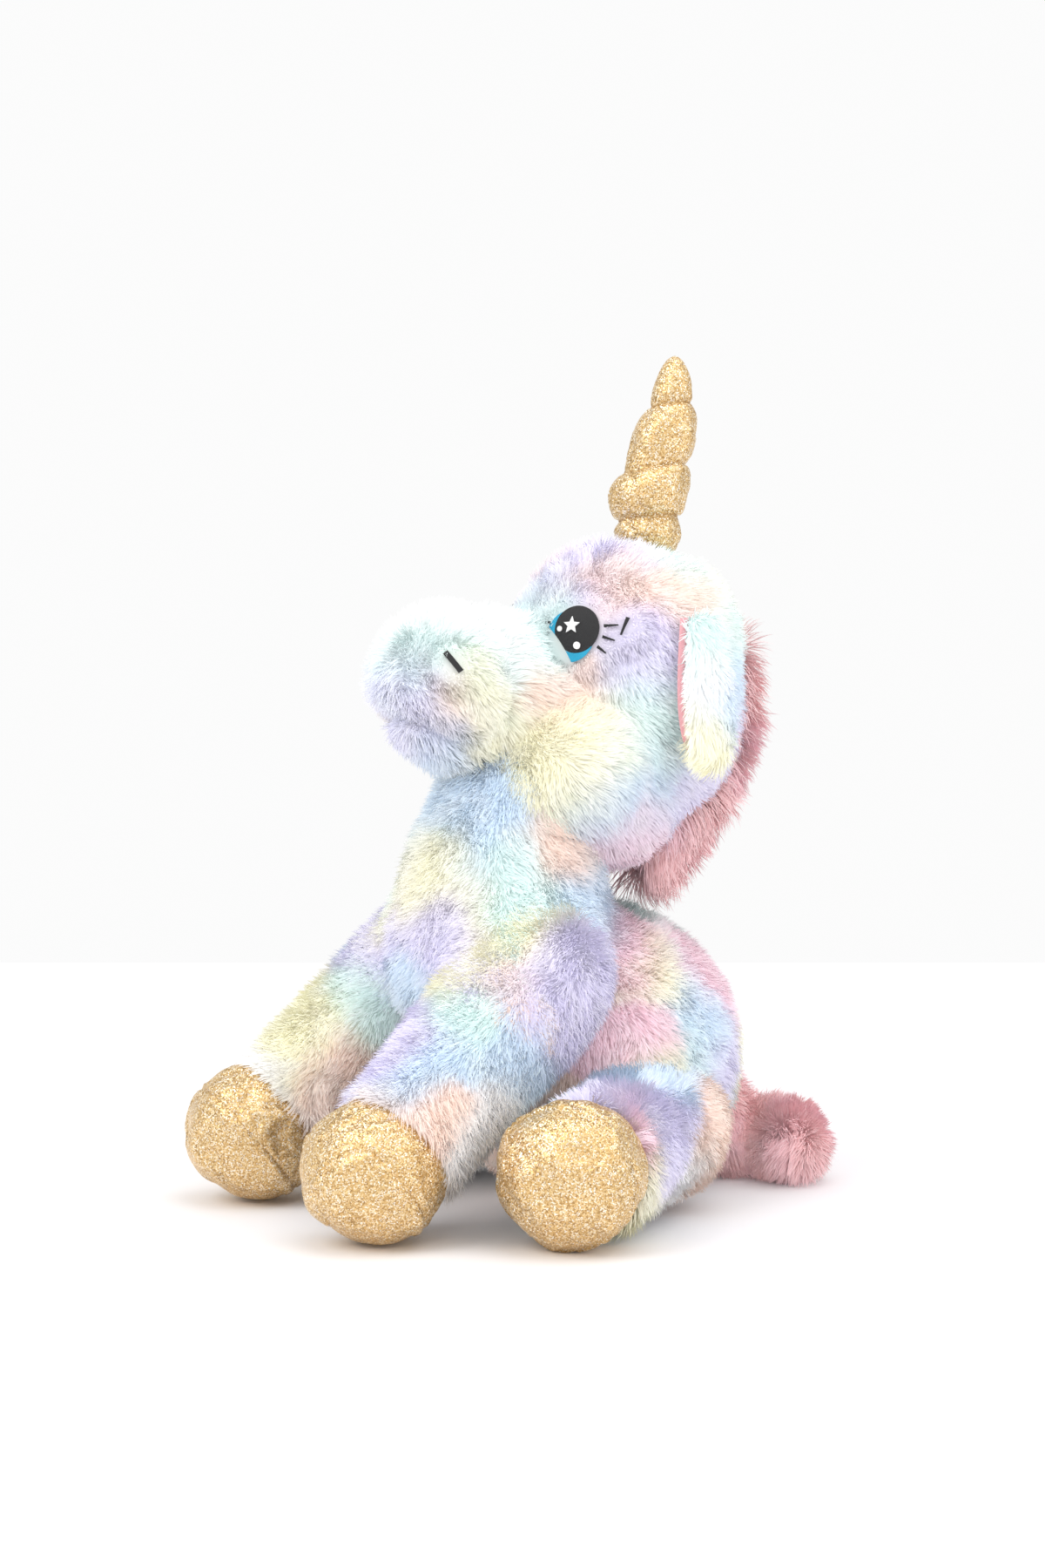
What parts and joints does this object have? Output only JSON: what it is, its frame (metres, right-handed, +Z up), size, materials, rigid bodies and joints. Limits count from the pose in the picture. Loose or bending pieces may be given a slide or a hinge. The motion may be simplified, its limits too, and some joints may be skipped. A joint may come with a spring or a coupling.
{
  "type": "plush unicorn",
  "caption": "Seated plush unicorn with a stuffed body, turning neck, floppy ears, soft horn, four sewn-on legs with round hooves and a curled tail.",
  "frame": {"origin": "on the floor, at the centre of the seated toy seen from above", "axes": "+Z up, -Y the way the toy faces, +X its own left"},
  "size_m": [0.276, 0.2801, 0.3767],
  "materials": {
    "pastel_fur": "tie-dyed long-pile plush in peach, cream, mint, light blue and lavender",
    "coral_pile": "shaggy coral pink pile",
    "gold_glitter_cloth": "gold glitter cloth",
    "gold_thread": "metallic thread",
    "pink_satin": "short-nap satin",
    "black_thread": "satin-stitch embroidery",
    "blue_thread": "satin-stitch embroidery",
    "white_thread": "satin-stitch embroidery",
    "fiberfill": "matted polyester fibre",
    "bead_bag_cloth": "plain woven cotton",
    "label_cloth": "blank woven tape"
  },
  "bodies": {
    "body": {"body_skin": "pastel_fur", "body_stuffing": "fiberfill", "seat_bean_bag": "bead_bag_cloth", "care_label": "label_cloth"},
    "neck": {"neck_stuffing": "fiberfill"},
    "head": {"head_skin": "pastel_fur", "muzzle_skin": "pastel_fur", "chin_skin": "pastel_fur", "head_stuffing": "fiberfill", "mane": "coral_pile", "eye_left_pupil": "black_thread", "eye_left_iris": "blue_thread", "eye_left_highlights": "white_thread", "eye_left_lashes": "black_thread", "brow_left": "black_thread", "nostril_left": "black_thread", "eye_right_pupil": "black_thread", "eye_right_iris": "blue_thread", "eye_right_highlights": "white_thread", "eye_right_lashes": "black_thread", "brow_right": "black_thread", "nostril_right": "black_thread"},
    "horn": {"horn_cover": "gold_glitter_cloth", "horn_stuffing": "fiberfill", "horn_winding_thread": "gold_thread"},
    "tail": {"tail_skin": "coral_pile", "tail_stuffing": "fiberfill"},
    "ear_left": {"ear_left_outer": "pastel_fur", "ear_left_lining": "pink_satin"},
    "front_leg_left": {"front_leg_left_skin": "pastel_fur", "front_leg_left_stuffing": "fiberfill", "front_leg_left_hoof_wall": "gold_glitter_cloth", "front_leg_left_hoof_sole": "gold_glitter_cloth", "front_leg_left_hoof_stuffing": "fiberfill"},
    "hind_leg_left": {"hind_leg_left_skin": "pastel_fur", "hind_leg_left_stuffing": "fiberfill", "hind_leg_left_hoof_wall": "gold_glitter_cloth", "hind_leg_left_hoof_sole": "gold_glitter_cloth", "hind_leg_left_hoof_stuffing": "fiberfill"},
    "ear_right": {"ear_right_outer": "pastel_fur", "ear_right_lining": "pink_satin"},
    "front_leg_right": {"front_leg_right_skin": "pastel_fur", "front_leg_right_stuffing": "fiberfill", "front_leg_right_hoof_wall": "gold_glitter_cloth", "front_leg_right_hoof_sole": "gold_glitter_cloth", "front_leg_right_hoof_stuffing": "fiberfill"},
    "hind_leg_right": {"hind_leg_right_skin": "pastel_fur", "hind_leg_right_stuffing": "fiberfill", "hind_leg_right_hoof_wall": "gold_glitter_cloth", "hind_leg_right_hoof_sole": "gold_glitter_cloth", "hind_leg_right_hoof_stuffing": "fiberfill"}
  },
  "joints": [
    {"name": "neck_nod", "type": "hinge", "parent": "body", "child": "neck", "pos_m": [0, 0.004, 0.165], "axis": [1, 0, 0], "range_deg": [-6, 10], "stiffness_Nm_per_rad": 3},
    {"name": "neck_turn", "type": "hinge", "parent": "neck", "child": "head", "pos_m": [0, 0.004, 0.165], "axis": [0, 0, 1], "range_deg": [-25, 25], "stiffness_Nm_per_rad": 1},
    {"name": "horn_sway", "type": "hinge", "parent": "head", "child": "horn", "pos_m": [0, 0.06, 0.289], "axis": [1, 0, 0], "range_deg": [-10, 10], "stiffness_Nm_per_rad": 0.4},
    {"name": "tail_swing", "type": "hinge", "parent": "body", "child": "tail", "pos_m": [0, 0.09, 0.05], "axis": [0, 0, 1], "range_deg": [-15, 15], "stiffness_Nm_per_rad": 0.1},
    {"name": "ear_left_flop", "type": "hinge", "parent": "head", "child": "ear_left", "pos_m": [0.058, 0.052, 0.26], "axis": [0, -1, 0], "range_deg": [0, 60]},
    {"name": "front_leg_left_lift", "type": "hinge", "parent": "body", "child": "front_leg_left", "pos_m": [0.04361, -0.02325, 0.10372], "axis": [-0.9877, -0.1564, 0], "range_deg": [0, 20], "stiffness_Nm_per_rad": 0.2},
    {"name": "hind_leg_left_lift", "type": "hinge", "parent": "body", "child": "hind_leg_left", "pos_m": [0.05, 0.034, 0.037], "axis": [-0.7986, -0.6018, 0], "range_deg": [0, 10], "stiffness_Nm_per_rad": 0.2},
    {"name": "ear_right_flop", "type": "hinge", "parent": "head", "child": "ear_right", "pos_m": [-0.058, 0.052, 0.26], "axis": [0, 1, 0], "range_deg": [0, 60]},
    {"name": "front_leg_right_lift", "type": "hinge", "parent": "body", "child": "front_leg_right", "pos_m": [-0.04361, -0.02325, 0.10372], "axis": [-0.9877, 0.1564, 0], "range_deg": [0, 20], "stiffness_Nm_per_rad": 0.2},
    {"name": "hind_leg_right_lift", "type": "hinge", "parent": "body", "child": "hind_leg_right", "pos_m": [-0.05, 0.034, 0.037], "axis": [-0.7986, 0.6018, 0], "range_deg": [0, 10], "stiffness_Nm_per_rad": 0.2}
  ]
}
